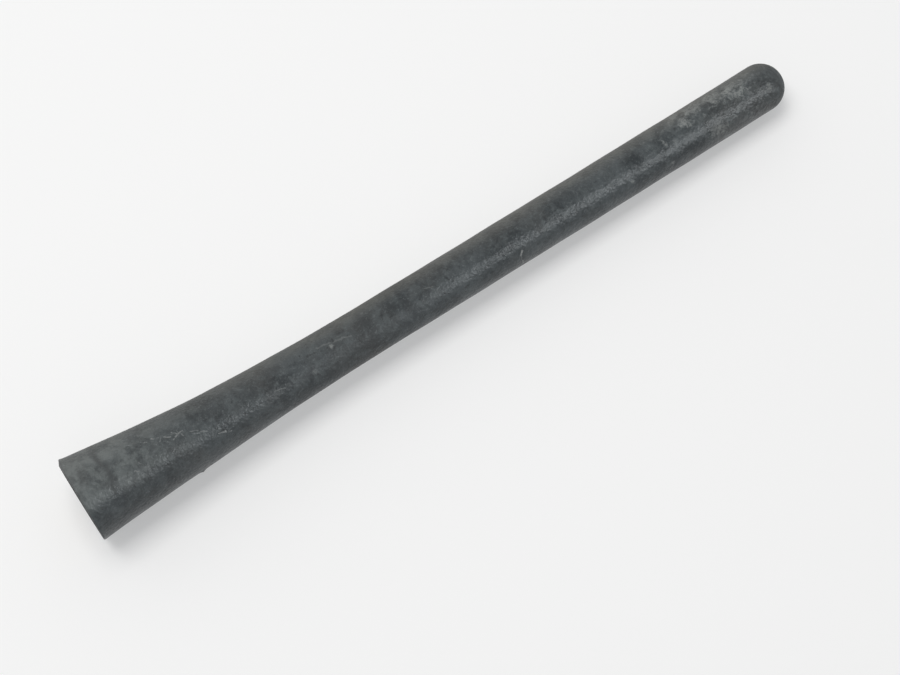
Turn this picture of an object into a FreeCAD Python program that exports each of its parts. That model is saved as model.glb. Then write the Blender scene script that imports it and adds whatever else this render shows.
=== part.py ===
import FreeCAD, Part
import math
import os
import Sketcher
from types import SimpleNamespace

# A short screw-on mast antenna: a rubber sheath moulded over a brass ferrule, a core rod and a wire winding.
# Millimetres. The mast stands on its flat end at Z = 0, with +Z up its axis.

SIZES = {
    # the sheath's outside
    "mast_length": 200.0,
    "base_diameter": 21.0,
    "rod_diameter": 12.2,
    "flare_length": 81.0,
    "rim_radius": 0.3,
    "seat_width": 2.2,
    "recess_depth": 0.8,
    "tip_wall": 12.0,
    # the winding and its core
    "core_diameter": 4.4,
    "core_chamfer": 0.4,
    "wire_diameter": 0.6,
    "winding_end_margin": 3.0,
    # the ferrule
    "thread_drill_diameter": 5.0,
    "thread_depth": 10.5,
    "thread_mouth_chamfer": 0.7,
    "drill_cone_depth": 1.5,
    "ferrule_web": 2.5,
    "core_grip": 5.0,
    "winding_grip": 7.0,
    "ferrule_wall": 1.4,
    "ferrule_edge_chamfer": 0.4,
    "flange_lip": 1.4,
    "flange_height": 3.0,
    "flange_bevel": 0.8,
    "groove_width": 2.0,
    "groove_depth": 0.6,
    # what fitted pieces leave between them
    "fit_clearance": 0.05,
}
GROOVE_COUNT = 3
HEX_SIDES = 6
BEVEL_REACH = 1.08


class Size:
    """A length, with the expression that works it out from the sheet."""

    def __init__(self, value, text):
        self.value = value
        self.text = text

    def __add__(self, other):
        return Size(self.value + other.value, f"({self.text} + {other.text})")

    def __sub__(self, other):
        return Size(self.value - other.value, f"({self.text} - {other.text})")

    def __mul__(self, factor):
        return Size(self.value * factor, f"({self.text} * {factor!r})")

    def __truediv__(self, factor):
        return Size(self.value / factor, f"({self.text} / {factor!r})")


def fill_sheet(doc):
    """Writes each driving size to its own named cell, and returns the sizes by name."""
    sheet = doc.addObject("Spreadsheet::Sheet", "Sizes")
    for row, (name, value) in enumerate(SIZES.items(), start=1):
        sheet.set(f"A{row}", name.replace("_", " "))
        sheet.set(f"B{row}", str(value))
        sheet.setAlias(f"B{row}", name)
    doc.recompute()
    return SimpleNamespace(**{name: Size(value, f"Sizes.{name}") for name, value in SIZES.items()})


def derive(size):
    """Adds the radii and heights that several pieces share."""
    size.base_radius = size.base_diameter / 2
    size.rod_radius = size.rod_diameter / 2
    size.recess_radius = size.base_radius - size.seat_width
    size.core_radius = size.core_diameter / 2
    size.core_bore = size.core_radius + size.fit_clearance
    size.winding_bore = size.core_bore + size.wire_diameter + size.fit_clearance
    size.drill_radius = size.thread_drill_diameter / 2
    size.body_radius = size.winding_bore + size.ferrule_wall
    size.flange_flat = size.body_radius + size.flange_lip
    size.groove_floor = size.body_radius - size.groove_depth
    size.drill_end = size.thread_depth + size.drill_cone_depth
    size.core_seat = size.drill_end + size.ferrule_web
    size.winding_seat = size.core_seat + size.core_grip
    size.ferrule_length = size.winding_seat + size.winding_grip
    size.cavity_top = size.mast_length - size.tip_wall
    size.core_foot = size.recess_depth + size.core_seat + size.fit_clearance
    size.core_top = size.cavity_top - size.fit_clearance
    size.core_length = size.core_top - size.core_foot
    size.winding_foot = size.recess_depth + size.winding_seat + size.fit_clearance
    size.winding_length = size.core_top - size.winding_end_margin - size.winding_foot


def groove_centres(size):
    """Heights of the retaining grooves above the ferrule's face, evenly spread between flange and top."""
    span = size.ferrule_length - size.flange_height
    return [size.flange_height + span * ((index + 1) / (GROOVE_COUNT + 1)) for index in range(GROOVE_COUNT)]


def new_sketch(body, name, plane):
    sketch = body.newObject("Sketcher::SketchObject", name)
    support = next(item for item in body.Origin.OriginFeatures if item.Role == plane)
    sketch.AttachmentSupport = (support, [""])
    sketch.MapMode = "FlatFace"
    return sketch


def pin(sketch, curve, end, x="free", y="free"):
    """Ties a curve's point to sheet values; None puts it on the axis, and free leaves that direction open."""
    for kind, axis, size in (("DistanceX", -2, x), ("DistanceY", -1, y)):
        if size is None:
            sketch.addConstraint(Sketcher.Constraint("PointOnObject", curve, end, axis))
        elif size != "free":
            index = sketch.addConstraint(Sketcher.Constraint(kind, -1, 1, curve, end, size.value))
            sketch.setExpression(f"Constraints[{index}]", size.text)


def point(x, y):
    return FreeCAD.Vector(x.value if x else 0.0, y.value if y else 0.0, 0.0)


def draw_loop(sketch, corners, arcs=None):
    """Closes a loop through the corners. arcs gives, by the corner it leaves, an arc's centre and what pins it."""
    arcs = arcs or {}
    count = len(corners)
    heads = []
    tails = []
    for index, corner in enumerate(corners):
        start = point(*corner)
        end = point(*corners[(index + 1) % count])
        if index not in arcs:
            curve = sketch.addGeometry(Part.LineSegment(start, end))
            heads.append((curve, 1))
            tails.append((curve, 2))
            continue
        centre, pinned = arcs[index]
        leaving = start - centre
        arriving = end - centre
        forward = leaving.cross(arriving).z > 0
        first, last = (leaving, arriving) if forward else (arriving, leaving)
        circle = Part.Circle(centre, FreeCAD.Vector(0, 0, 1), leaving.Length)
        angles = (math.atan2(first.y, first.x), math.atan2(last.y, last.x))
        curve = sketch.addGeometry(Part.ArcOfCircle(circle, *angles))
        heads.append((curve, 1 if forward else 2))
        tails.append((curve, 2 if forward else 1))
        pin(sketch, curve, 3, **pinned)
    for index, corner in enumerate(corners):
        sketch.addConstraint(Sketcher.Constraint("Coincident", *tails[index - 1], *heads[index]))
        pin(sketch, *heads[index], *corner)


def revolve(body, name, sketch, kind="Revolution"):
    feature = body.newObject(f"PartDesign::{kind}", name)
    feature.Profile = sketch
    feature.ReferenceAxis = (sketch, ["V_Axis"])
    feature.Angle = 360
    sketch.Visibility = False
    return feature


def hex_corners(flat):
    """Corners of a regular hexagon from the distance of its flats to the axis, one corner on +X."""
    reach = flat / math.cos(math.pi / HEX_SIDES)
    corners = []
    for index in range(HEX_SIDES):
        angle = 2 * math.pi * index / HEX_SIDES
        on_axis = index % (HEX_SIDES // 2) == 0
        corners.append((reach * math.cos(angle), None if on_axis else reach * math.sin(angle)))
    return corners


def make_sheath(doc, size):
    """Rubber mast: flat seat, rounded rim, flare tangent to the rod, round tip, and the hollow for its insides."""
    body = doc.addObject("PartDesign::Body", "Sheath")
    section = new_sketch(body, "SheathSection", "XZ_Plane")
    dome_foot = size.mast_length - size.rod_radius
    rim_inner = size.base_radius - size.rim_radius
    ferrule_top = size.recess_depth + size.ferrule_length + size.fit_clearance
    ferrule_bore = size.body_radius + size.fit_clearance
    bead = size.groove_floor + size.fit_clearance
    half_bead = size.groove_width / 2 - size.fit_clearance
    corners = [
        (size.recess_radius, None),
        (rim_inner, None),
        (size.base_radius, size.rim_radius),
        (size.rod_radius, size.flare_length),
        (size.rod_radius, dome_foot),
        (None, size.mast_length),
        (None, size.cavity_top),
        (size.winding_bore, size.cavity_top),
        (size.winding_bore, ferrule_top),
        (ferrule_bore, ferrule_top),
    ]
    for centre in reversed(groove_centres(size)):
        upper = size.recess_depth + centre + half_bead
        lower = size.recess_depth + centre - half_bead
        corners += [(ferrule_bore, upper), (bead, upper), (bead, lower), (ferrule_bore, lower)]
    corners += [(ferrule_bore, size.recess_depth), (size.recess_radius, size.recess_depth)]

    rise = size.flare_length.value - size.rim_radius.value
    spread = size.base_radius.value - size.rod_radius.value
    flare_radius = (rise**2 + spread**2) / (2 * spread)
    arcs = {
        1: (point(rim_inner, size.rim_radius), {"x": rim_inner}),
        2: (
            FreeCAD.Vector(size.rod_radius.value + flare_radius, size.flare_length.value, 0),
            {"y": size.flare_length},
        ),
        4: (point(None, dome_foot), {"x": None}),
    }
    draw_loop(section, corners, arcs)
    revolve(body, "SheathTurned", section)

    flange_room = new_sketch(body, "FlangeRoomOutline", "XY_Plane")
    flange_room.setExpression("AttachmentOffset.Base.z", size.recess_depth.text)
    draw_loop(flange_room, hex_corners(size.flange_flat + size.fit_clearance))
    pocket = body.newObject("PartDesign::Pocket", "FlangeRoom")
    pocket.Profile = flange_room
    pocket.Reversed = True
    pocket.setExpression("Length", (size.flange_height + size.fit_clearance).text)
    flange_room.Visibility = False
    body.Label = "sheath"
    return body


def make_ferrule(doc, size):
    """Brass ferrule: bevelled hexagon flange, grooved body, tapped hole below and stepped socket above."""
    body = doc.addObject("PartDesign::Body", "Ferrule")
    section = new_sketch(body, "FerruleSection", "XZ_Plane")
    corners = [
        (None, size.drill_end),
        (size.drill_radius, size.thread_depth),
        (size.drill_radius, size.thread_mouth_chamfer),
        (size.drill_radius + size.thread_mouth_chamfer, None),
        (size.body_radius, None),
    ]
    for centre in groove_centres(size):
        lower = centre - size.groove_width / 2
        upper = centre + size.groove_width / 2
        corners += [
            (size.body_radius, lower),
            (size.groove_floor, lower),
            (size.groove_floor, upper),
            (size.body_radius, upper),
        ]
    corners += [
        (size.body_radius, size.ferrule_length - size.ferrule_edge_chamfer),
        (size.body_radius - size.ferrule_edge_chamfer, size.ferrule_length),
        (size.winding_bore, size.ferrule_length),
        (size.winding_bore, size.winding_seat),
        (size.core_bore, size.winding_seat),
        (size.core_bore, size.core_seat),
        (None, size.core_seat),
    ]
    draw_loop(section, corners)
    revolve(body, "FerruleTurned", section)

    # a ring of the hexagon, so that the tapped hole stays open
    flange = new_sketch(body, "FlangeOutline", "XY_Plane")
    draw_loop(flange, hex_corners(size.flange_flat))
    hole = flange.addGeometry(Part.Circle(FreeCAD.Vector(), FreeCAD.Vector(0, 0, 1), size.groove_floor.value))
    flange.addConstraint(Sketcher.Constraint("Coincident", hole, 3, -1, 1))
    radius = flange.addConstraint(Sketcher.Constraint("Radius", hole, size.groove_floor.value))
    flange.setExpression(f"Constraints[{radius}]", size.groove_floor.text)
    pad = body.newObject("PartDesign::Pad", "Flange")
    pad.Profile = flange
    pad.setExpression("Length", size.flange_height.text)
    flange.Visibility = False

    # the bevel starts where the flats touch the face, and runs out past the corners
    bevel = new_sketch(body, "FlangeBevelSection", "XZ_Plane")
    reach = size.flange_flat * (BEVEL_REACH / math.cos(math.pi / HEX_SIDES))
    draw_loop(bevel, [(size.flange_flat, None), (reach, None), (reach, size.flange_bevel)])
    revolve(body, "FlangeBevel", bevel, "Groove")
    body.setExpression("Placement.Base.z", size.recess_depth.text)
    body.Label = "threaded_ferrule"
    return body


def make_core(doc, size):
    """Core rod with broken edges, its foot on the floor of the ferrule's socket."""
    body = doc.addObject("PartDesign::Body", "Core")
    section = new_sketch(body, "CoreSection", "XZ_Plane")
    edge = size.core_radius - size.core_chamfer
    corners = [
        (None, None),
        (edge, None),
        (size.core_radius, size.core_chamfer),
        (size.core_radius, size.core_length - size.core_chamfer),
        (edge, size.core_length),
        (None, size.core_length),
    ]
    draw_loop(section, corners)
    revolve(body, "CoreTurned", section)
    body.setExpression("Placement.Base.z", size.core_foot.text)
    body.Label = "core_rod"
    return body


def make_winding(doc, size):
    """The wire's turns as one sleeve on the core, from the step of the ferrule's socket to below the core's top."""
    body = doc.addObject("PartDesign::Body", "Winding")
    section = new_sketch(body, "WindingSection", "XZ_Plane")
    inner = size.core_radius + size.fit_clearance
    outer = inner + size.wire_diameter
    corners = [(inner, None), (outer, None), (outer, size.winding_length), (inner, size.winding_length)]
    draw_loop(section, corners)
    revolve(body, "WindingTurned", section)
    body.setExpression("Placement.Base.z", size.winding_foot.text)
    body.Label = "wire_winding"
    return body


def check_and_write(doc, bodies):
    """Stops on a failed feature or an invalid solid, and writes each piece under its label."""
    for item in doc.Objects:
        if "Invalid" in item.State or "Error" in item.State:
            raise RuntimeError(f"{item.Label} failed: {item.State}")
    for body in bodies:
        shape = body.Shape
        if shape.isNull() or not shape.isValid() or len(shape.Solids) != 1:
            raise RuntimeError(f"{body.Label} is not one valid solid")
    os.makedirs("parts", exist_ok=True)
    for body in bodies:
        body.Shape.exportStep(f"parts/{body.Label}.step")
        print(f"{body.Label}: {body.Shape.Volume:.1f} mm3, {body.Shape.BoundBox}")


def main():
    doc = FreeCAD.newDocument("MastAntenna")
    size = fill_sheet(doc)
    derive(size)
    bodies = [make(doc, size) for make in (make_sheath, make_ferrule, make_core, make_winding)]
    doc.recompute()
    check_and_write(doc, bodies)


main()
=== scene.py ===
import math
from types import SimpleNamespace

import bpy
import numpy as np
from mathutils import Matrix, Vector


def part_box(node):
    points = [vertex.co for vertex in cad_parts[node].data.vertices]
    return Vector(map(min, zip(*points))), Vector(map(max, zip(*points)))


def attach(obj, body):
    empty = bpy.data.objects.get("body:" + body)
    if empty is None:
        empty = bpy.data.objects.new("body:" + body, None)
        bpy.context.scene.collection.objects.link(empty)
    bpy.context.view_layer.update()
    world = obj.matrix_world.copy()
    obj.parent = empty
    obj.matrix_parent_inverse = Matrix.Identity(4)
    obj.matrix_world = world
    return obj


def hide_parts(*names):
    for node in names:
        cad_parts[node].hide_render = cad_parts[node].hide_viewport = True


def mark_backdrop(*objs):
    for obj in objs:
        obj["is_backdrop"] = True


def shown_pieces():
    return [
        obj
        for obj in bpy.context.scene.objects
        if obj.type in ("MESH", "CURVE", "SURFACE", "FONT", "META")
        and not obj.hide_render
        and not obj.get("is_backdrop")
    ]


# A weathered rubber mast antenna with a flared foot, standing on its flat end. Metres, +Z up the mast.
# The main view shows it lying on a pale table: the camera is rolled, and the table touches foot and tip.

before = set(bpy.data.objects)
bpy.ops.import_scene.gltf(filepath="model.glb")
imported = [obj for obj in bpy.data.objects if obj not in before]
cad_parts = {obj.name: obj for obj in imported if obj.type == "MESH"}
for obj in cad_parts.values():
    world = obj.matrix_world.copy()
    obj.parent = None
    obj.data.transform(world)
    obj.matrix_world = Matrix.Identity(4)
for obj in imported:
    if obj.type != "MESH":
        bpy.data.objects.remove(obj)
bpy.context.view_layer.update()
sheath_low, sheath_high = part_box("sheath")
ferrule_low, ferrule_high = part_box("threaded_ferrule")
winding_low, winding_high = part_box("wire_winding")

# one millimetre, in the frame's metres
MM = 0.001

# the mast
MAST_LENGTH = sheath_high[2] - sheath_low[2]
BASE_RADIUS = (sheath_high[0] - sheath_low[0]) / 2
ROD_RADIUS = 6.1 * MM
FLARE_LENGTH = 81 * MM
RIM_RADIUS = 0.3 * MM
SEAT_WIDTH = 2.2 * MM
RECESS_DEPTH = ferrule_low[2]
CAVITY_TOP = MAST_LENGTH - 12 * MM
CLEARANCE = 0.05 * MM

# the ferrule; its top is a height in the frame, and its other heights are from its lower face
FERRULE_TOP = ferrule_high[2]
FLANGE_FLAT = (ferrule_high[1] - ferrule_low[1]) / 2
FLANGE_HEIGHT = 3 * MM
FLANGE_BEVEL = 0.5 * MM
FERRULE_BODY = 4.3 * MM
GROOVE_COUNT = 3
GROOVE_HALF_WIDTH = 1 * MM
GROOVE_DEPTH = 0.6 * MM
THREAD_MINOR = 2.5 * MM
THREAD_HEIGHT = 0.5 * MM
THREAD_PITCH = 1 * MM
THREAD_DEPTH = 10.5 * MM
THREAD_MOUTH = 0.7 * MM
DRILL_CONE = 1.5 * MM
CORE_SEAT = 14.5 * MM
WINDING_SEAT = 19.5 * MM
CORE_BORE = 2.25 * MM

# the winding
WIRE_RADIUS = 0.3 * MM
WINDING_RADIUS = winding_high[0] - WIRE_RADIUS
WINDING_BORE = winding_high[0] + CLEARANCE
WINDING_TURNS = 74

# how finely the surfaces are divided
MAST_AROUND = 192
RIM_ROWS = 7
SIDE_ROWS = 340
DOME_ROWS = 26
FERRULE_AROUND = 120
ROWS_A_PITCH = 12
WIRE_AROUND = 8
STEPS_A_TURN = 24

# the ring next to a closing point, as a share of its bore
CAVITY_POLE = 0.02
FERRULE_POLE = 0.03

# lengths that differ by less than this are the same
SAME = 1e-9

# the side that the picture shows, and how the picture lies to it
CAMERA_AZIMUTH = math.radians(50)
CAMERA_LOOKS_UP = math.radians(12.7)
MAST_RISE = math.radians(31.68)
CAMERA_DISTANCE = 453 * MM
CAMERA_LENS = 76
MAST_ABOVE_MIDDLE = 13.7 * MM
MAST_LEFT_OF_MIDDLE = 0.55 * MM
TOWARDS = Vector((math.sin(CAMERA_AZIMUTH), -math.cos(CAMERA_AZIMUTH), 0))
DOWN_SIDE = Vector((math.cos(CAMERA_AZIMUTH), math.sin(CAMERA_AZIMUTH), 0))
UP_MAST = Vector((0, 0, 1))
MID_MAST = UP_MAST * (MAST_LENGTH / 2)

# how this mast has set and worn; degrees count from the side that faces the camera to the lower side
FOOT_LEAN = 0.84 * MM
LEAN_HEIGHT = 36 * MM
LEAN_POWER = 1.2
ROD_BOW = 0.36 * MM
BOW_MIDDLE = 62 * MM
BOW_REACH = 94.6 * MM
UNEVENNESS = 0.018 * MM
CALM_HEIGHT = 1.2 * MM
CALM_SHARE = 0.35
NUB = SimpleNamespace(height=27.1 * MM, degrees=90, size=0.38 * MM, stands=0.3 * MM)
NICK = SimpleNamespace(height=0.2 * MM, degrees=-39, size=0.6 * MM, depth=0.35 * MM)
WORN_RIM = SimpleNamespace(height=2 * MM, degrees=-105, spread=65, fade=45, depth=0.5 * MM)

# the rubber's colours
BARE_RUBBER = (0.015, 0.019, 0.021, 1)
HAZY_RUBBER = (0.042, 0.049, 0.052, 1)
WARM_RUBBER = (0.042, 0.04, 0.037, 1)
MOTTLED_RUBBER = (0.058, 0.067, 0.069, 1)
PALE_FLECK = (0.1, 0.11, 0.112, 1)
DARK_PORE = (0.012, 0.014, 0.015, 1)
PALE_POINT = (0.14, 0.15, 0.152, 1)
GREY_FOOT = (0.115, 0.126, 0.124, 1)
DARK_RING = (0.026, 0.028, 0.029, 1)
SCUFFED_RUBBER = (0.2, 0.215, 0.215, 1)
# the lighter, warmer tone given to the side that lies uppermost
WARM_UPPER_TONE = (0.122, 0.12, 0.108, 1)
TIP_FLECK = (0.16, 0.167, 0.163, 1)
CLUMPED_DUST = (0.212, 0.22, 0.213, 1)
SCRATCHED_RUBBER = (0.27, 0.275, 0.268, 1)

# the colours of the metals and of the rod
BRIGHT_BRASS = (0.62, 0.46, 0.2, 1)
DULL_BRASS = (0.36, 0.25, 0.11, 1)
BRIGHT_COPPER = (0.6, 0.27, 0.14, 1)
DULL_COPPER = (0.42, 0.16, 0.08, 1)
PALE_FIBRE = (0.62, 0.6, 0.46, 1)
DULL_FIBRE = (0.45, 0.43, 0.32, 1)

# pale clumps of dust, by height in millimetres, degrees from the camera's side, and size in millimetres
DUST_CLUMPS = (
    (168.5, -62, 2.4),
    (173.5, -53, 3.6),
    (179.5, -47, 3.4),
    (185.5, -33, 4.0),
    (170.0, -28, 2.2),
    (177.0, 35, 2.8),
    (193.4, 12, 1.4),
    (162.4, -8, 1.0),
    (162.4, 45, 0.8),
    (150.8, 30, 0.7),
    (66.7, -10, 0.8),
    (60.2, 19, 0.8),
)

# straight marks: start and end by height in millimetres and degrees, width in millimetres, and strength
STRAIGHT_MARKS = (
    (118.1, 30, 117.2, 41, 0.34, 1.0),
    (117.2, 41, 117.5, 72, 0.3, 0.8),
    (34.1, 20, 35.7, 23, 0.24, 0.75),
    (35.0, 22, 36.7, 29, 0.24, 0.75),
    (63.5, -24, 72.0, -8, 0.35, 0.22),
    (22.9, -20, 24.4, -15, 0.2, 0.5),
    (24.4, -9, 25.6, -14, 0.2, 0.55),
    (24.9, -22, 26.2, -13, 0.2, 0.5),
    (25.4, -12, 27.2, -16, 0.2, 0.55),
    (26.1, -19, 26.9, -8, 0.2, 0.45),
    (20.2, -27, 21.8, -24, 0.2, 0.45),
    (21.6, -16, 22.4, -22, 0.2, 0.4),
    (18.0, -30, 19.2, -26, 0.2, 0.4),
    (28.6, -8, 30.2, -3, 0.2, 0.4),
    (30.6, 0, 32.0, 6, 0.2, 0.4),
    (13.0, 2, 14.4, 7, 0.2, 0.35),
    (15.2, -4, 15.8, 2, 0.2, 0.35),
    (50.0, 8, 52.4, 13, 0.22, 0.3),
    (92.0, -14, 94.6, -6, 0.22, 0.25),
)

# how far the straight marks waver
MARK_WAVER = 0.9 * MM

# half the width of the floor and of the table, in metres
PAPER_HALF = 4.0


def flare_radius(height):
    """Outer radius up to the round tip: an arc that meets the rim and runs tangent into the rod."""
    spread = BASE_RADIUS - ROD_RADIUS
    rise = FLARE_LENGTH - RIM_RADIUS
    arc = (rise**2 + spread**2) / (2 * spread)
    below = np.clip(FLARE_LENGTH - height, 0, None)
    return ROD_RADIUS + arc - np.sqrt(arc**2 - below**2)


def set_aside(height):
    """How far the used mast has set towards its lower side.

    The foot leans back by a power of what is left of its height, and the rod is bowed in a parabola.
    """
    foot = -FOOT_LEAN * np.clip(1 - height / LEAN_HEIGHT, 0, 1) ** LEAN_POWER
    bow = ROD_BOW * (1 - ((height - BOW_MIDDLE) / BOW_REACH) ** 2)
    return foot + bow


def on_mast(height, degrees):
    """A point on the mast's skin, by height and by angle from the side that faces the camera."""
    angle = math.radians(degrees)
    radius = float(flare_radius(np.array(height)))
    outward = TOWARDS * math.cos(angle) + DOWN_SIDE * math.sin(angle)
    return UP_MAST * height + DOWN_SIDE * float(set_aside(height)) + outward * radius


def smooth(low, high, value):
    """A soft step, by a cubic, from 0 at low to 1 at high."""
    x = np.clip((value - low) / (high - low), 0, 1)
    return x * x * (3 - 2 * x)


def skin(name, rings, first_pole, last_pole):
    """A closed surface through rings of points, with one more point to close either end.

    The rings are an array by ring, angle and axis. Four-sided faces join each ring to the next, and
    three-sided ones join the end rings to their points. Where the signed volume under the faces is
    negative, they are turned round, so that they point outwards.
    """
    count, around, _ = rings.shape
    points = np.concatenate([rings.reshape(-1, 3), [first_pole, last_pole]])
    ring = np.arange(count - 1)[:, None] * around
    here = np.arange(around)[None, :]
    after = (here + 1) % around
    quads = np.stack([ring + here, ring + after, ring + around + after, ring + around + here], axis=-1)
    quads = quads.reshape(-1, 4)
    foot = np.stack([np.full(around, count * around), after[0], here[0]], axis=-1)
    top = (count - 1) * around
    head = np.stack([np.full(around, count * around + 1), top + here[0], top + after[0]], axis=-1)
    a, b, c, d = (points[quads[:, k]] for k in range(4))
    volume = np.einsum("ij,ij->", a, np.cross(b, c)) + np.einsum("ij,ij->", a, np.cross(c, d))
    faces = [quads, foot, head]
    if volume < 0:
        faces = [face[:, ::-1] for face in faces]
    mesh = bpy.data.meshes.new(name)
    mesh.from_pydata(points.tolist(), [], [row for face in faces for row in face.tolist()])
    mesh.polygons.foreach_set("use_smooth", np.ones(len(mesh.polygons), dtype=bool))
    piece = bpy.data.objects.new(name, mesh)
    bpy.context.collection.objects.link(piece)
    return piece


def hexagon(angle):
    """How far a hexagon with flats at distance 1 reaches in each direction, with a corner on +X.

    It is 1 over the cosine of the angle from the middle of the nearest flat.
    """
    sector = math.pi / 3
    return 1 / np.cos(np.mod(angle, sector) - sector / 2)


def stretch(start, end, steps):
    """Even steps from one corner of a section to the next, without the last."""
    share = np.linspace(0, 1, steps, endpoint=False)[:, None]
    return np.array(start) * (1 - share) + np.array(end) * share


def mast_inside():
    """The hollow's section, from the top of the cavity down to the seat, as radius and height."""
    recess = BASE_RADIUS - SEAT_WIDTH
    body = FERRULE_BODY + CLEARANCE
    room = FLANGE_FLAT + CLEARANCE
    room_top = RECESS_DEPTH + FLANGE_HEIGHT + CLEARANCE
    socket_top = FERRULE_TOP + CLEARANCE
    return np.concatenate([
        stretch((WINDING_BORE * CAVITY_POLE, CAVITY_TOP), (WINDING_BORE, CAVITY_TOP), 3),
        stretch((WINDING_BORE, CAVITY_TOP), (WINDING_BORE, socket_top), 6),
        stretch((WINDING_BORE, socket_top), (body, socket_top), 2),
        stretch((body, socket_top), (body, room_top), 4),
        stretch((body, room_top), (room, room_top), 2),
        stretch((room, room_top), (room, RECESS_DEPTH), 3),
        stretch((room, RECESS_DEPTH), (recess, RECESS_DEPTH), 4),
        stretch((recess, RECESS_DEPTH), (recess, 0), 3),
        stretch((recess, 0), (BASE_RADIUS - RIM_RADIUS, 0), 5),
    ])


def mast_outside():
    """The outer section, as radius and height.

    It is the rim's arc, the flare's arc, the straight rod and the half round of the tip.
    """
    quarter = np.linspace(0, math.pi / 2, RIM_ROWS, endpoint=False)
    rim = np.stack([
        BASE_RADIUS - RIM_RADIUS + RIM_RADIUS * np.sin(quarter),
        RIM_RADIUS - RIM_RADIUS * np.cos(quarter),
    ], axis=-1)
    tip_start = MAST_LENGTH - ROD_RADIUS
    height = np.linspace(RIM_RADIUS, tip_start, SIDE_ROWS, endpoint=False)
    side = np.stack([flare_radius(height), height], axis=-1)
    turn = np.linspace(0, math.pi / 2, DOME_ROWS, endpoint=False)
    dome = np.stack([ROD_RADIUS * np.cos(turn), tip_start + ROD_RADIUS * np.sin(turn)], axis=-1)
    return np.concatenate([rim, side, dome])


def build_mast():
    """The rubber mast, turned: radius and height along the section, times the angle round the axis.

    The outside is a few hundredths of a millimetre uneven, by two sine waves. A moulding nub stands on the
    flare and a nick is cut in the rim, each a bell of the distance from its middle. The rim is worn back
    on the upper side, by the square root of how near the angle lies to the middle of the wear.
    """
    around = MAST_AROUND
    angle = np.linspace(0, 2 * math.pi, around, endpoint=False)
    inside = mast_inside()
    section = np.concatenate([inside, mast_outside()])
    radius = np.repeat(section[:, :1], around, axis=1)
    level = np.repeat(section[:, 1:], around, axis=1)
    room = FLANGE_FLAT + CLEARANCE
    in_room = (np.abs(section[:, 0] - room) < SAME) & (section[:, 1] > RECESS_DEPTH - SAME)
    radius[in_room] *= hexagon(angle)[None, :]

    outside = np.arange(len(section))[:, None] >= len(inside)
    side_angle = angle[None, :] - CAMERA_AZIMUTH + math.pi / 2

    def turned_from(degrees):
        """The angle round the mast from a given side, between minus and plus half a turn."""
        return np.mod(side_angle - math.radians(degrees) + math.pi, 2 * math.pi) - math.pi

    def bell(flaw):
        """1 in the middle of a flaw, falling off with the distance along the height and round the mast."""
        off = (level - flaw.height) ** 2 + (turned_from(flaw.degrees) * radius) ** 2
        return np.exp(-off / (2 * flaw.size**2))

    wave = np.sin(level * 410 + 2 * np.sin(side_angle)) + np.sin(level * 173 - 3 * side_angle + 1.3)
    uneven = UNEVENNESS * wave + NUB.stands * bell(NUB) - NICK.depth * bell(NICK)
    near_seat = smooth(0, CALM_HEIGHT, level)
    radius = radius + np.where(outside, uneven * np.maximum(near_seat, CALM_SHARE), 0)
    aside = np.where(outside, set_aside(level), 0)
    turned_away = np.degrees(np.abs(turned_from(WORN_RIM.degrees)))
    worn_share = np.clip((WORN_RIM.spread - turned_away) / WORN_RIM.fade, 0, 1)
    worn = WORN_RIM.depth * np.sqrt(worn_share) * smooth(WORN_RIM.height, 0, level)
    level = level + np.where(outside, worn, 0)
    rings = np.stack([
        radius * np.cos(angle) + aside * DOWN_SIDE.x,
        radius * np.sin(angle) + aside * DOWN_SIDE.y,
        level,
    ], axis=-1)
    tip = DOWN_SIDE * float(set_aside(MAST_LENGTH)) + UP_MAST * MAST_LENGTH
    return skin("mast", rings, (0, 0, CAVITY_TOP), tuple(tip))


def grooved_side(length):
    """The ferrule's outer side above the flange: plain bands, with grooves at even spaces between them."""
    floor = FERRULE_BODY - GROOVE_DEPTH
    spacing = (length - FLANGE_HEIGHT) / (GROOVE_COUNT + 1)
    bands = []
    start = FLANGE_HEIGHT
    for index in range(GROOVE_COUNT):
        centre = FLANGE_HEIGHT + spacing * (index + 1)
        low, high = centre - GROOVE_HALF_WIDTH, centre + GROOVE_HALF_WIDTH
        bands += [
            stretch((FERRULE_BODY, start), (FERRULE_BODY, low), 3),
            stretch((FERRULE_BODY, low), (floor, low), 2),
            stretch((floor, low), (floor, high), 3),
            stretch((floor, high), (FERRULE_BODY, high), 2),
        ]
        start = high
    return [*bands, stretch((FERRULE_BODY, start), (FERRULE_BODY, length), 4)]


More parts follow.
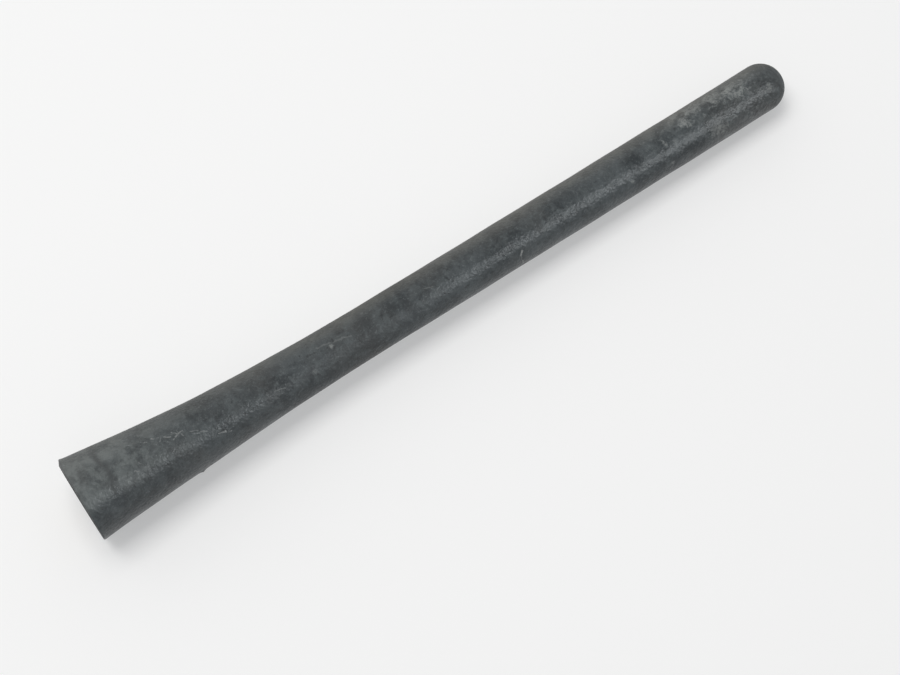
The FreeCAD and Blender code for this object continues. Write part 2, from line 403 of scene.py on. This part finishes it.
def build_ferrule():
    """The brass ferrule, turned, with a six-sided flange; the hole's wall is a screw surface.

    On the screw the radius rises and falls along the height, and shifts by one pitch for each full turn.
    """
    around = FERRULE_AROUND
    angle = np.linspace(0, 2 * math.pi, around, endpoint=False)
    length = FERRULE_TOP - RECESS_DEPTH
    thread_rows = int(ROWS_A_PITCH * (THREAD_DEPTH - THREAD_MOUTH) / THREAD_PITCH)
    drill_end = THREAD_DEPTH + DRILL_CONE
    section = np.concatenate([
        stretch((THREAD_MINOR * FERRULE_POLE, drill_end), (THREAD_MINOR, THREAD_DEPTH), 5),
        stretch((THREAD_MINOR, THREAD_DEPTH), (THREAD_MINOR, THREAD_MOUTH), thread_rows),
        stretch((THREAD_MINOR, THREAD_MOUTH), (THREAD_MINOR + THREAD_MOUTH, 0), 5),
        stretch((THREAD_MINOR + THREAD_MOUTH, 0), (FLANGE_FLAT - FLANGE_BEVEL, 0), 5),
        stretch((FLANGE_FLAT - FLANGE_BEVEL, 0), (FLANGE_FLAT, FLANGE_BEVEL), 3),
        stretch((FLANGE_FLAT, FLANGE_BEVEL), (FLANGE_FLAT, FLANGE_HEIGHT), 4),
        stretch((FLANGE_FLAT, FLANGE_HEIGHT), (FERRULE_BODY, FLANGE_HEIGHT), 2),
        *grooved_side(length),
        stretch((FERRULE_BODY, length), (WINDING_BORE, length), 2),
        stretch((WINDING_BORE, length), (WINDING_BORE, WINDING_SEAT), 4),
        stretch((WINDING_BORE, WINDING_SEAT), (CORE_BORE, WINDING_SEAT), 2),
        stretch((CORE_BORE, WINDING_SEAT), (CORE_BORE, CORE_SEAT), 3),
        stretch((CORE_BORE, CORE_SEAT), (CORE_BORE * FERRULE_POLE, CORE_SEAT), 3),
    ])
    radius = np.repeat(section[:, :1], around, axis=1)
    level = np.repeat(section[:, 1:], around, axis=1)
    on_flange = (section[:, 0] > FLANGE_FLAT - SAME) & (section[:, 1] <= FLANGE_HEIGHT + SAME)
    radius[on_flange] *= hexagon(angle)[None, :]
    on_thread = (np.abs(section[:, 0] - THREAD_MINOR) < SAME) & (section[:, 1] <= THREAD_DEPTH + SAME)
    phase = np.mod(level / THREAD_PITCH - angle[None, :] / (2 * math.pi), 1)
    ridge = np.clip(1.25 * (1 - np.abs(2 * phase - 1)) - 0.125, 0, 1)
    fade = smooth(0, THREAD_PITCH, THREAD_DEPTH - level)
    radius += np.where(on_thread[:, None], THREAD_HEIGHT * ridge * fade, 0)
    rings = np.stack([radius * np.cos(angle), radius * np.sin(angle), level + RECESS_DEPTH], axis=-1)
    return skin("tapped_ferrule", rings, (0, 0, RECESS_DEPTH + drill_end), (0, 0, RECESS_DEPTH + CORE_SEAT))


def build_winding():
    """One wire: a circle carried along a helix, its middle at the winding's radius and rising evenly."""
    steps = WINDING_TURNS * STEPS_A_TURN + 1
    turn = np.linspace(0, 2 * math.pi * WINDING_TURNS, steps)
    level = np.linspace(winding_low[2] + WIRE_RADIUS, winding_high[2] - WIRE_RADIUS, steps)
    around = np.linspace(0, 2 * math.pi, WIRE_AROUND, endpoint=False)
    radius = WINDING_RADIUS + WIRE_RADIUS * np.cos(around)[None, :]
    height = level[:, None] + WIRE_RADIUS * np.sin(around)[None, :]
    rings = np.stack([radius * np.cos(turn)[:, None], radius * np.sin(turn)[:, None], height], axis=-1)
    first = (WINDING_RADIUS * math.cos(turn[0]), WINDING_RADIUS * math.sin(turn[0]), level[0])
    last = (WINDING_RADIUS * math.cos(turn[-1]), WINDING_RADIUS * math.sin(turn[-1]), level[-1])
    return skin("wound_wire", rings, first, last)


class Shader:
    """Adds nodes to a tree, and links or sets their inputs."""

    def __init__(self, tree):
        self.tree = tree

    def feed(self, socket, value):
        """Links a socket to another one, or sets its value."""
        if isinstance(value, bpy.types.NodeSocket):
            self.tree.links.new(value, socket)
        else:
            socket.default_value = value

    def add(self, kind, settings=None, inputs=None):
        """A new node, with its settings and its inputs by name or number."""
        node = self.tree.nodes.new(kind)
        for name, value in (settings or {}).items():
            setattr(node, name, value)
        for name, value in (inputs or {}).items():
            self.feed(node.inputs[name], value)
        return node

    def place(self):
        """Object coordinates, which are the frame's own metres."""
        return self.add("ShaderNodeTexCoord").outputs["Object"]

    def calc(self, operation, a, b=0.0, c=0.0):
        """One sum of up to three values."""
        node = self.add("ShaderNodeMath", {"operation": operation}, {0: a, 1: b, 2: c})
        return node.outputs[0]

    def share(self, *parts):
        """The product of several shares."""
        whole = parts[0]
        for part in parts[1:]:
            whole = self.calc("MULTIPLY", whole, part)
        return whole

    def vector(self, operation, a, b=(0, 0, 0), output="Vector"):
        """One sum of two vectors."""
        node = self.add("ShaderNodeVectorMath", {"operation": operation}, {0: a, 1: b})
        return node.outputs[output]

    def along(self, place, way):
        """How far a place lies in a direction."""
        return self.vector("DOT_PRODUCT", place, tuple(way), "Value")

    def step(self, value, low, high, least=0.0, most=1.0):
        """A soft step from least at low to most at high."""
        settings = {"interpolation_type": "SMOOTHSTEP"}
        inputs = {"Value": value, "From Min": low, "From Max": high, "To Min": least, "To Max": most}
        return self.add("ShaderNodeMapRange", settings, inputs).outputs["Result"]

    def between(self, value, low, high, soft):
        """1 between low and high, with soft ends."""
        rise = self.step(value, low - soft, low + soft)
        fall = self.step(value, high + soft, high - soft)
        return self.share(rise, fall)

    def blend(self, share, a, b):
        """A share of colour b over colour a."""
        node = self.add("ShaderNodeMix", {"data_type": "RGBA"})
        self.feed(node.inputs[0], share)
        self.feed(node.inputs[6], a)
        self.feed(node.inputs[7], b)
        return node.outputs[2]

    def noise(self, place, scale, detail=4.0, rough=0.55, distortion=0.0, output="Fac"):
        """Noise with so many features a metre, or a unit of the given place."""
        inputs = {
            "Vector": place,
            "Scale": scale,
            "Detail": detail,
            "Roughness": rough,
            "Distortion": distortion,
        }
        return self.add("ShaderNodeTexNoise", None, inputs).outputs[output]

    def bump(self, height, strength, distance):
        """The normal of a surface raised by a height."""
        inputs = {"Height": height, "Strength": strength, "Distance": distance}
        return self.add("ShaderNodeBump", None, inputs).outputs["Normal"]

    def group(self, tree, inputs=None):
        """A node group's outputs, by name."""
        return self.add("ShaderNodeGroup", {"node_tree": tree}, inputs).outputs


def new_group(name, inputs, outputs):
    """An empty node group with float or vector sockets, and its shader helper and end nodes."""
    tree = bpy.data.node_groups.new(name, "ShaderNodeTree")
    for label, kind in inputs:
        tree.interface.new_socket(label, in_out="INPUT", socket_type=kind)
    for label, kind in outputs:
        tree.interface.new_socket(label, in_out="OUTPUT", socket_type=kind)
    shader = Shader(tree)
    return tree, shader, shader.add("NodeGroupInput").outputs, shader.add("NodeGroupOutput").inputs


def place_group():
    """Where a point lies on the mast: its height, and how far it faces the camera and the lower side."""
    sockets = [("Height", "NodeSocketFloat"), ("Facing", "NodeSocketFloat"), ("Lower", "NodeSocketFloat")]
    tree, shader, _, ends = new_group("place on the mast", [], sockets)
    place = shader.place()
    height = shader.add("ShaderNodeSeparateXYZ", None, {0: place}).outputs["Z"]
    outward = shader.vector("NORMALIZE", shader.vector("MULTIPLY", place, (1, 1, 0)))
    shader.feed(ends["Height"], height)
    shader.feed(ends["Facing"], shader.along(outward, TOWARDS))
    shader.feed(ends["Lower"], shader.along(outward, DOWN_SIDE))
    return tree


def scratch_group():
    """A straight mark between two points: 1 on the line between start and end, 0 at its width."""
    vector, number = "NodeSocketVector", "NodeSocketFloat"
    inputs = [("Place", vector), ("Start", vector), ("End", vector), ("Width", number)]
    tree, shader, given, ends = new_group("straight mark", inputs, [("Mark", number)])
    whole = shader.vector("SUBTRACT", given["End"], given["Start"])
    length = shader.vector("LENGTH", whole, output="Value")
    way = shader.vector("NORMALIZE", whole)
    from_start = shader.vector("SUBTRACT", given["Place"], given["Start"])
    along = shader.vector("DOT_PRODUCT", from_start, way, "Value")
    along = shader.calc("MINIMUM", shader.calc("MAXIMUM", along, 0.0), length)
    scaled = shader.add("ShaderNodeVectorMath", {"operation": "SCALE"}, {0: way, "Scale": along})
    nearest = scaled.outputs["Vector"]
    off = shader.vector("LENGTH", shader.vector("SUBTRACT", from_start, nearest), output="Value")
    shader.feed(ends["Mark"], shader.step(off, given["Width"], 0.0))
    return tree


def patch_group():
    """A patch round a point: 1 in the middle, 0 at its size, with the edge made ragged by a given noise."""
    vector, number = "NodeSocketVector", "NodeSocketFloat"
    inputs = [("Place", vector), ("Ragged", number), ("Centre", vector), ("Size", number)]
    tree, shader, given, ends = new_group("ragged patch", inputs, [("Patch", number)])
    off = shader.vector("LENGTH", shader.vector("SUBTRACT", given["Place"], given["Centre"]), output="Value")
    share = shader.calc("DIVIDE", off, given["Size"])
    share = shader.calc("MULTIPLY_ADD", shader.calc("SUBTRACT", given["Ragged"], 0.5), -3.0, share)
    shader.feed(ends["Patch"], shader.step(share, 1.05, 0.1))
    return tree


def scuff_group():
    """Fine scuffs: noise drawn out along a slanting direction in the plane that faces the camera."""
    tree, shader, _, ends = new_group("slanting scuffs", [], [("Scuff", "NodeSocketFloat")])
    place = shader.place()
    slant = math.radians(35)
    along = UP_MAST * math.cos(slant) + DOWN_SIDE * math.sin(slant)
    across = UP_MAST * -math.sin(slant) + DOWN_SIDE * math.cos(slant)
    long_way = shader.calc("MULTIPLY", shader.along(place, along), 380.0)
    short_way = shader.calc("MULTIPLY", shader.along(place, across), 1700.0)
    drawn = shader.add("ShaderNodeCombineXYZ", None, {0: long_way, 1: short_way}).outputs[0]
    lines = shader.noise(drawn, 1.0, 5.0, 0.65, 0.5)
    shader.feed(ends["Scuff"], shader.step(lines, 0.56, 0.7))
    return tree


def new_material(name):
    """A new material with its shader helper and its surface node."""
    material = bpy.data.materials.new(name)
    material.use_nodes = True
    tree = material.node_tree
    return material, Shader(tree), tree.nodes["Principled BSDF"]


def rubber_noises(shader, place):
    """The noises that the rubber's colour and relief share, from fine to coarse."""
    return SimpleNamespace(
        points=shader.noise(place, 2600.0, 2.0, 0.5),
        grain=shader.noise(place, 2300.0, 2.0, 0.6),
        pebbles=shader.noise(place, 1350.0, 1.0, 0.5),
        flecks=shader.noise(place, 900.0, 6.0, 0.75, 0.3),
        dents=shader.noise(place, 340.0, 1.0, 0.5),
        mottle=shader.noise(place, 300.0, 6.0, 0.7, 0.6),
        rings=shader.noise(place, 200.0, 4.0),
        cloud=shader.noise(place, 85.0, 5.0, 0.65, 0.8),
        warmth=shader.noise(place, 48.0, 3.0, 0.5, 0.4),
    )


def bloomed(shader, noise):
    """Bare rubber under a thin cloudy bloom, with warm clouds, pale flecks, dark pores and pale points."""
    colour = shader.blend(shader.step(noise.cloud, 0.37, 0.63), BARE_RUBBER, HAZY_RUBBER)
    colour = shader.blend(shader.step(noise.warmth, 0.45, 0.65, 0, 0.4), colour, WARM_RUBBER)
    colour = shader.blend(shader.step(noise.mottle, 0.44, 0.66, 0, 0.6), colour, MOTTLED_RUBBER)
    colour = shader.blend(shader.step(noise.flecks, 0.54, 0.68, 0, 0.5), colour, PALE_FLECK)
    colour = shader.blend(shader.step(noise.flecks, 0.46, 0.33, 0, 0.8), colour, DARK_PORE)
    return shader.blend(shader.step(noise.points, 0.6, 0.7, 0, 0.2), colour, PALE_POINT)


def with_grey_foot(shader, noise, where, colour):
    """The foot is greyer, in smooth patches, with a wavering dark ring of wear behind its end."""
    height, lower = where["Height"], where["Lower"]
    foot = shader.share(shader.step(height, 36 * MM, 5 * MM), shader.step(lower, 0.42, 0.12))
    patch = shader.step(noise.mottle, 0.37, 0.63)
    greyed = shader.share(foot, shader.calc("MULTIPLY_ADD", patch, 0.55, 0.17))
    colour = shader.blend(greyed, colour, GREY_FOOT)
    wobble = shader.calc("MULTIPLY_ADD", noise.rings, 4 * MM, -2 * MM)
    ring = shader.between(shader.calc("ADD", height, wobble), 7.2 * MM, 8.8 * MM, 0.7 * MM)
    ring = shader.share(ring, shader.step(noise.mottle, 0.34, 0.5), shader.step(lower, 0.8, 0.2))
    return shader.blend(shader.share(ring, 0.7), colour, DARK_RING)


def with_scuffs(shader, noise, where, colour):
    """Scuffs above the ring, in a band that rises from the upper side of the flare to the lower side."""
    height = where["Height"]
    slanted = shader.calc("ADD", shader.calc("MULTIPLY_ADD", height, -0.05 / MM, 1.4), where["Lower"])
    band = shader.between(slanted, -0.16, 0.16, 0.22)
    rubbed = shader.share(shader.between(height, 14 * MM, 36 * MM, 5 * MM), band)
    scuff = shader.group(scuff_group())["Scuff"]
    seen = shader.step(where["Facing"], 0.1, 0.6)
    scuffed = shader.share(rubbed, seen, scuff, shader.step(noise.flecks, 0.36, 0.58))
    return shader.blend(shader.share(scuffed, 0.9), colour, SCUFFED_RUBBER)


def upper_side_tone(shader, noise, where):
    """How far the side that lies uppermost takes a lighter, warmer tone, in patches."""
    # lighter and warmer on the side that lies uppermost
    upper = shader.step(where["Lower"], -0.4, -1.0)
    return shader.share(upper, shader.step(noise.mottle, 0.3, 0.66, 0.35, 1))


def with_upper_tone_and_tip_flecks(shader, noise, where, upper_tone, colour):
    """A lighter, warmer tone on the upper side, fainter on the foot, and paler flecks below the dome of the
    tip.
    """
    height = where["Height"]
    lying = shader.step(height, 8 * MM, 80 * MM, 0.2, 0.6)
    # the upper side's lighter, warmer tone, fainter on the foot
    colour = shader.blend(shader.share(upper_tone, lying), colour, WARM_UPPER_TONE)
    near_tip = shader.share(shader.step(height, 150 * MM, 182 * MM), shader.step(height, 197 * MM, 190 * MM))
    tip = shader.share(near_tip, shader.step(noise.flecks, 0.48, 0.64), shader.step(noise.mottle, 0.36, 0.6))
    return shader.blend(shader.share(tip, 0.4), colour, TIP_FLECK)


def clumped_dust(shader, noise, place):
    """How far the clumps of dust cover a point, at their places and broken up by noise."""
    patches = patch_group()
    ragged = shader.calc("MULTIPLY_ADD", noise.mottle, 0.35, shader.share(noise.flecks, 0.65))
    clump = 0.0
    for height, degrees, size in DUST_CLUMPS:
        centre = tuple(on_mast(height * MM, degrees))
        inputs = {"Place": place, "Ragged": ragged, "Centre": centre, "Size": size * MM}
        clump = shader.calc("MAXIMUM", shader.group(patches, inputs)["Patch"], clump)
    return shader.share(clump, shader.step(noise.flecks, 0.4, 0.56, 0.12, 1))


def straight_marks(shader, place):
    """How far a point lies on a straight mark, with its place shaken a little by noise."""
    scratches = scratch_group()
    wander = shader.noise(place, 900.0, 2.0, 0.5, output="Color")
    shake = shader.vector("MULTIPLY", shader.vector("SUBTRACT", wander, (0.5, 0.5, 0.5)), (MARK_WAVER,) * 3)
    shaken = shader.vector("ADD", place, shake)
    marked = 0.0
    for height, degrees, end_height, end_degrees, width, strength in STRAIGHT_MARKS:
        start = tuple(on_mast(height * MM, degrees))
        end = tuple(on_mast(end_height * MM, end_degrees))
        inputs = {"Place": shaken, "Start": start, "End": end, "Width": width * MM}
        mark = shader.share(shader.group(scratches, inputs)["Mark"], strength)
        marked = shader.calc("MAXIMUM", mark, marked)
    return marked


def rubber_roughness(shader, noise, where, upper_tone_and_clumps):
    """Half matt, duller in the lighter upper tone and the clumps of dust, on the dome of the tip and along
    the top of the flare.
    """
    height = where["Height"]
    rough = shader.step(noise.flecks, 0.3, 0.7, 0.36, 0.46)
    rough = shader.calc("MULTIPLY_ADD", upper_tone_and_clumps, 0.25, rough)
    rough = shader.calc("ADD", rough, shader.step(height, 192 * MM, 198 * MM, 0, 0.25))
    return shader.calc("MULTIPLY_ADD", shader.between(height, 54 * MM, 94 * MM, 12 * MM), 0.13, rough)


def rubber_relief(shader, noise, marked):
    """Shallow dents, pebbles and a fine grain, with the straight marks cut in."""
    relief = shader.calc("MULTIPLY_ADD", noise.dents, 1.2, shader.share(noise.pebbles, 1.7))
    relief = shader.calc("MULTIPLY_ADD", noise.grain, 0.12, relief)
    relief = shader.calc("MULTIPLY_ADD", marked, -0.5, relief)
    return shader.bump(relief, 1.0, 0.1 * MM)


def rubber_material():
    """Black rubber gone grey: bloom, a scuffed foot, a lighter, warmer tone on the upper side, clumps of
    dust and straight marks.
    """
    material, shader, surface = new_material("weathered rubber")
    where = shader.group(place_group())
    place = shader.place()
    noise = rubber_noises(shader, place)
    upper_tone = upper_side_tone(shader, noise, where)
    clump = clumped_dust(shader, noise, place)
    marked = straight_marks(shader, place)

    colour = bloomed(shader, noise)
    colour = with_grey_foot(shader, noise, where, colour)
    colour = with_scuffs(shader, noise, where, colour)
    colour = with_upper_tone_and_tip_flecks(shader, noise, where, upper_tone, colour)
    colour = shader.blend(shader.share(clump, 0.55), colour, CLUMPED_DUST)
    colour = shader.blend(shader.share(marked, 0.8), colour, SCRATCHED_RUBBER)
    # the upper side's lighter tone together with the clumps of dust
    upper_tone_and_clumps = shader.calc("ADD", upper_tone, clump)
    shader.feed(surface.inputs["Base Color"], colour)
    shader.feed(surface.inputs["Roughness"], rubber_roughness(shader, noise, where, upper_tone_and_clumps))
    shader.feed(surface.inputs["Normal"], rubber_relief(shader, noise, marked))
    return material


def turned_metal_group():
    """Marks of turning: fine rings, from noise pressed flat along the height, and a film in soft patches."""
    sockets = [("Film", "NodeSocketFloat"), ("Rings", "NodeSocketFloat")]
    tree, shader, _, ends = new_group("turned metal", [], sockets)
    place = shader.place()
    flattened = shader.vector("MULTIPLY", place, (60, 60, 9000))
    shader.feed(ends["Film"], shader.noise(place, 500.0, 5.0, 0.6))
    shader.feed(ends["Rings"], shader.noise(flattened, 1.0, 2.0))
    return tree


def metal_material(name, turned, bright, dull, rough):
    """Turned metal: bright under a duller and rougher film, with the fine rings raised."""
    material, shader, surface = new_material(name)
    marks = shader.group(turned)
    film = marks["Film"]
    shader.feed(surface.inputs["Base Color"], shader.blend(shader.step(film, 0.4, 0.7), bright, dull))
    shader.feed(surface.inputs["Roughness"], shader.step(film, 0.3, 0.8, rough, rough + 0.25))
    surface.inputs["Metallic"].default_value = 1.0
    shader.feed(surface.inputs["Normal"], shader.bump(marks["Rings"], 0.2, 0.02 * MM))
    return material


def glass_fibre_material():
    """Drawn glass fibre in resin: pale, with fine streaks, from noise drawn out along the rod."""
    material, shader, surface = new_material("glass fibre rod")
    drawn = shader.vector("MULTIPLY", shader.place(), (4000, 4000, 60))
    streaks = shader.noise(drawn, 1.0, 4.0)
    colour = shader.blend(shader.step(streaks, 0.35, 0.65), PALE_FIBRE, DULL_FIBRE)
    shader.feed(surface.inputs["Base Color"], colour)
    surface.inputs["Roughness"].default_value = 0.45
    shader.feed(surface.inputs["Normal"], shader.bump(streaks, 0.3, 0.03 * MM))
    return material


def dress(piece, material, slot, *nodes):
    """Gives a piece its finish; a new piece also rides on the body and stands for the given nodes."""
    piece.data.materials.clear()
    piece.data.materials.append(material)
    if nodes:
        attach(piece, "root")
        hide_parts(*nodes)


def stand(item, place, right, up, back):
    """Puts a camera or a light at a place, with its own X, Y and Z along the given directions."""
    turned = Matrix((right, up, back)).transposed().to_4x4()
    item.matrix_world = Matrix.Translation(place) @ turned
    bpy.context.collection.objects.link(item)


def camera_axes():
    """Right, up and forward of the rolled camera, so that the mast rises to the right as in the picture."""
    forward = UP_MAST * math.sin(CAMERA_LOOKS_UP) - TOWARDS * math.cos(CAMERA_LOOKS_UP)
    level_up = DOWN_SIDE.cross(forward)
    roll = math.pi / 2 - MAST_RISE
    right = DOWN_SIDE * math.cos(roll) + level_up * math.sin(roll)
    up = level_up * math.cos(roll) - DOWN_SIDE * math.sin(roll)
    return right, up, forward


def place_camera():
    """The camera of the main view."""
    right, up, forward = camera_axes()
    camera = bpy.data.objects.new("picture camera", bpy.data.cameras.new("picture camera"))
    camera.data.lens = CAMERA_LENS
    camera.data.clip_start = 0.01
    place = MID_MAST + right * MAST_LEFT_OF_MIDDLE - up * MAST_ABOVE_MIDDLE - forward * CAMERA_DISTANCE
    stand(camera, place, right, up, -forward)
    bpy.context.scene.camera = camera


def table_axes():
    """The table's normal, and its directions up the mast and across it towards the picture's upper left.

    The table touches the foot's rim and the tip's round, and lies level with the picture's width.
    """
    right, _, _ = camera_axes()
    lean = math.atan2(BASE_RADIUS - ROD_RADIUS, MAST_LENGTH - ROD_RADIUS - RIM_RADIUS)
    facing, aside = right.dot(TOWARDS), right.dot(DOWN_SIDE)
    reach = math.hypot(facing, aside)
    turn = math.asin(math.tan(lean) * right.z / reach) - math.atan2(facing, aside)
    level = TOWARDS * math.cos(turn) + DOWN_SIDE * math.sin(turn)
    normal = level * math.cos(lean) - UP_MAST * math.sin(lean)
    along = level * math.sin(lean) + UP_MAST * math.cos(lean)
    return normal, along, normal.cross(along)


def studio_material(name, shade, glow):
    """Pale paper that only the eye and mirrors see, and only from its front, so that it shades nothing."""
    material, shader, surface = new_material(name)
    surface.inputs["Base Color"].default_value = (shade, shade, shade, 1)
    surface.inputs["Emission Color"].default_value = (0.995, 0.998, 1, 1)
    surface.inputs["Emission Strength"].default_value = glow
    surface.inputs["Roughness"].default_value = 1.0
    surface.inputs["Specular IOR Level"].default_value = 0.0
    ray = shader.add("ShaderNodeLightPath").outputs
    seen = shader.calc("MAXIMUM", ray["Is Camera Ray"], ray["Is Glossy Ray"])
    seen = shader.calc("MAXIMUM", seen, ray["Is Transmission Ray"])
    front = shader.calc("SUBTRACT", 1.0, shader.add("ShaderNodeNewGeometry").outputs["Backfacing"])
    clear = shader.add("ShaderNodeBsdfTransparent").outputs[0]
    mixed = shader.add("ShaderNodeMixShader", None, {0: shader.share(seen, front), 1: clear})
    shader.feed(mixed.inputs[2], surface.outputs[0])
    shader.feed(material.node_tree.nodes["Material Output"].inputs["Surface"], mixed.outputs[0])
    return material


def studio_plane(name, middle, one, other, material):
    """A large flat sheet that faces along the cross product of its two directions."""
    signs = ((-1, -1), (1, -1), (1, 1), (-1, 1))
    corners = [middle + one * a * PAPER_HALF + other * b * PAPER_HALF for a, b in signs]
    mesh = bpy.data.meshes.new(name)
    mesh.from_pydata([tuple(corner) for corner in corners], [], [(0, 1, 2, 3)])
    mesh.materials.append(material)
    sheet = bpy.data.objects.new(name, mesh)
    bpy.context.collection.objects.link(sheet)
    return sheet


def area_light(name, place, long_way, size, watts, colour):
    """A soft light turned to the middle of the mast, with its first side along the given direction."""
    data = bpy.data.lights.new(name, "AREA")
    data.shape = "RECTANGLE"
    data.size, data.size_y = size
    data.energy = watts
    data.color = colour
    back = (place - MID_MAST).normalized()
    side = (long_way - back * long_way.dot(back)).normalized()
    light = bpy.data.objects.new(name, data)
    stand(light, place, side, back.cross(side), back)
    return light


def light_only(light, name, pieces):
    """Lets a light reach only the given pieces."""
    reached = bpy.data.collections.new(name)
    for piece in pieces:
        reached.objects.link(piece)
    light.light_linking.receiver_collection = reached


def set_papers():
    """The floor under the standing mast, and the table that it lies on in the main view."""
    normal, along, across = table_axes()
    floor_paper = studio_material("floor paper", shade=0.62, glow=0.6)
    table_paper = studio_material("table paper", shade=0.56, glow=0.36)
    floor = studio_plane("floor", Vector(), Vector((1, 0, 0)), Vector((0, 1, 0)), floor_paper)
    table = studio_plane("table", -normal * BASE_RADIUS, along, across, table_paper)
    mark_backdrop(floor, table)
    return table


def set_lights(table):
    """A key light from the upper left, a strip for the streak on the mast, and a light for its far side."""
    normal, along, across = table_axes()
    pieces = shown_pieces()
    key_place = MID_MAST + across * 0.245 + normal * 0.96 - along * 0.12
    warm, cool, white = (1.0, 0.99, 0.97), (0.94, 0.98, 1.0), (1.0, 1.0, 1.0)
    key = area_light("key light", key_place, along, size=(0.6, 0.5), watts=5.6, colour=warm)
    key.visible_glossy = False
    light_only(key, "pieces and table", [*pieces, table])
    glance = math.radians(25)
    strip_place = (TOWARDS * math.cos(glance) + DOWN_SIDE * math.sin(glance)) * 0.6 + UP_MAST * 0.42
    strip = area_light("strip light", strip_place, UP_MAST, size=(0.46, 0.15), watts=2.05, colour=cool)
    light_only(strip, "pieces in the strip light", pieces)
    back_place = MID_MAST - TOWARDS * 0.7 + DOWN_SIDE * 0.25 + UP_MAST * 0.15
    back = area_light("back light", back_place, UP_MAST, size=(0.5, 0.4), watts=2.6, colour=white)
    light_only(back, "pieces in the back light", pieces)
    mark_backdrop(key, strip, back)


def set_world():
    """The room: bright towards the picture's upper left, dim opposite, and even from behind the table."""
    normal, _, across = table_axes()
    world = bpy.data.worlds.new("studio")
    world.use_nodes = True
    shader = Shader(world.node_tree)
    way = shader.add("ShaderNodeTexCoord").outputs["Generated"]
    window = shader.step(shader.along(way, across), 0.0, 0.9)
    dim, bright, even = (0.35, 0.357, 0.367, 1), (0.95, 0.95, 0.94, 1), (0.4, 0.404, 0.408, 1)
    room = shader.blend(window, dim, bright)
    beyond = shader.step(shader.along(way, normal), 0.05, -0.15)
    room = shader.blend(beyond, room, even)
    shader.feed(world.node_tree.nodes["Background"].inputs["Color"], room)
    bpy.context.scene.world = world


dress(build_mast(), rubber_material(), "rubber", "sheath")
turned_metal = turned_metal_group()
brass = metal_material("turned brass", turned_metal, BRIGHT_BRASS, DULL_BRASS, rough=0.3)
dress(build_ferrule(), brass, "brass", "threaded_ferrule")
copper = metal_material("enamelled copper", turned_metal, BRIGHT_COPPER, DULL_COPPER, rough=0.25)
dress(build_winding(), copper, "copper", "wire_winding")
dress(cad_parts["core_rod"], glass_fibre_material(), "glass_fibre")
place_camera()
table = set_papers()
set_lights(table)
set_world()
bpy.context.scene.view_settings.view_transform = "Standard"
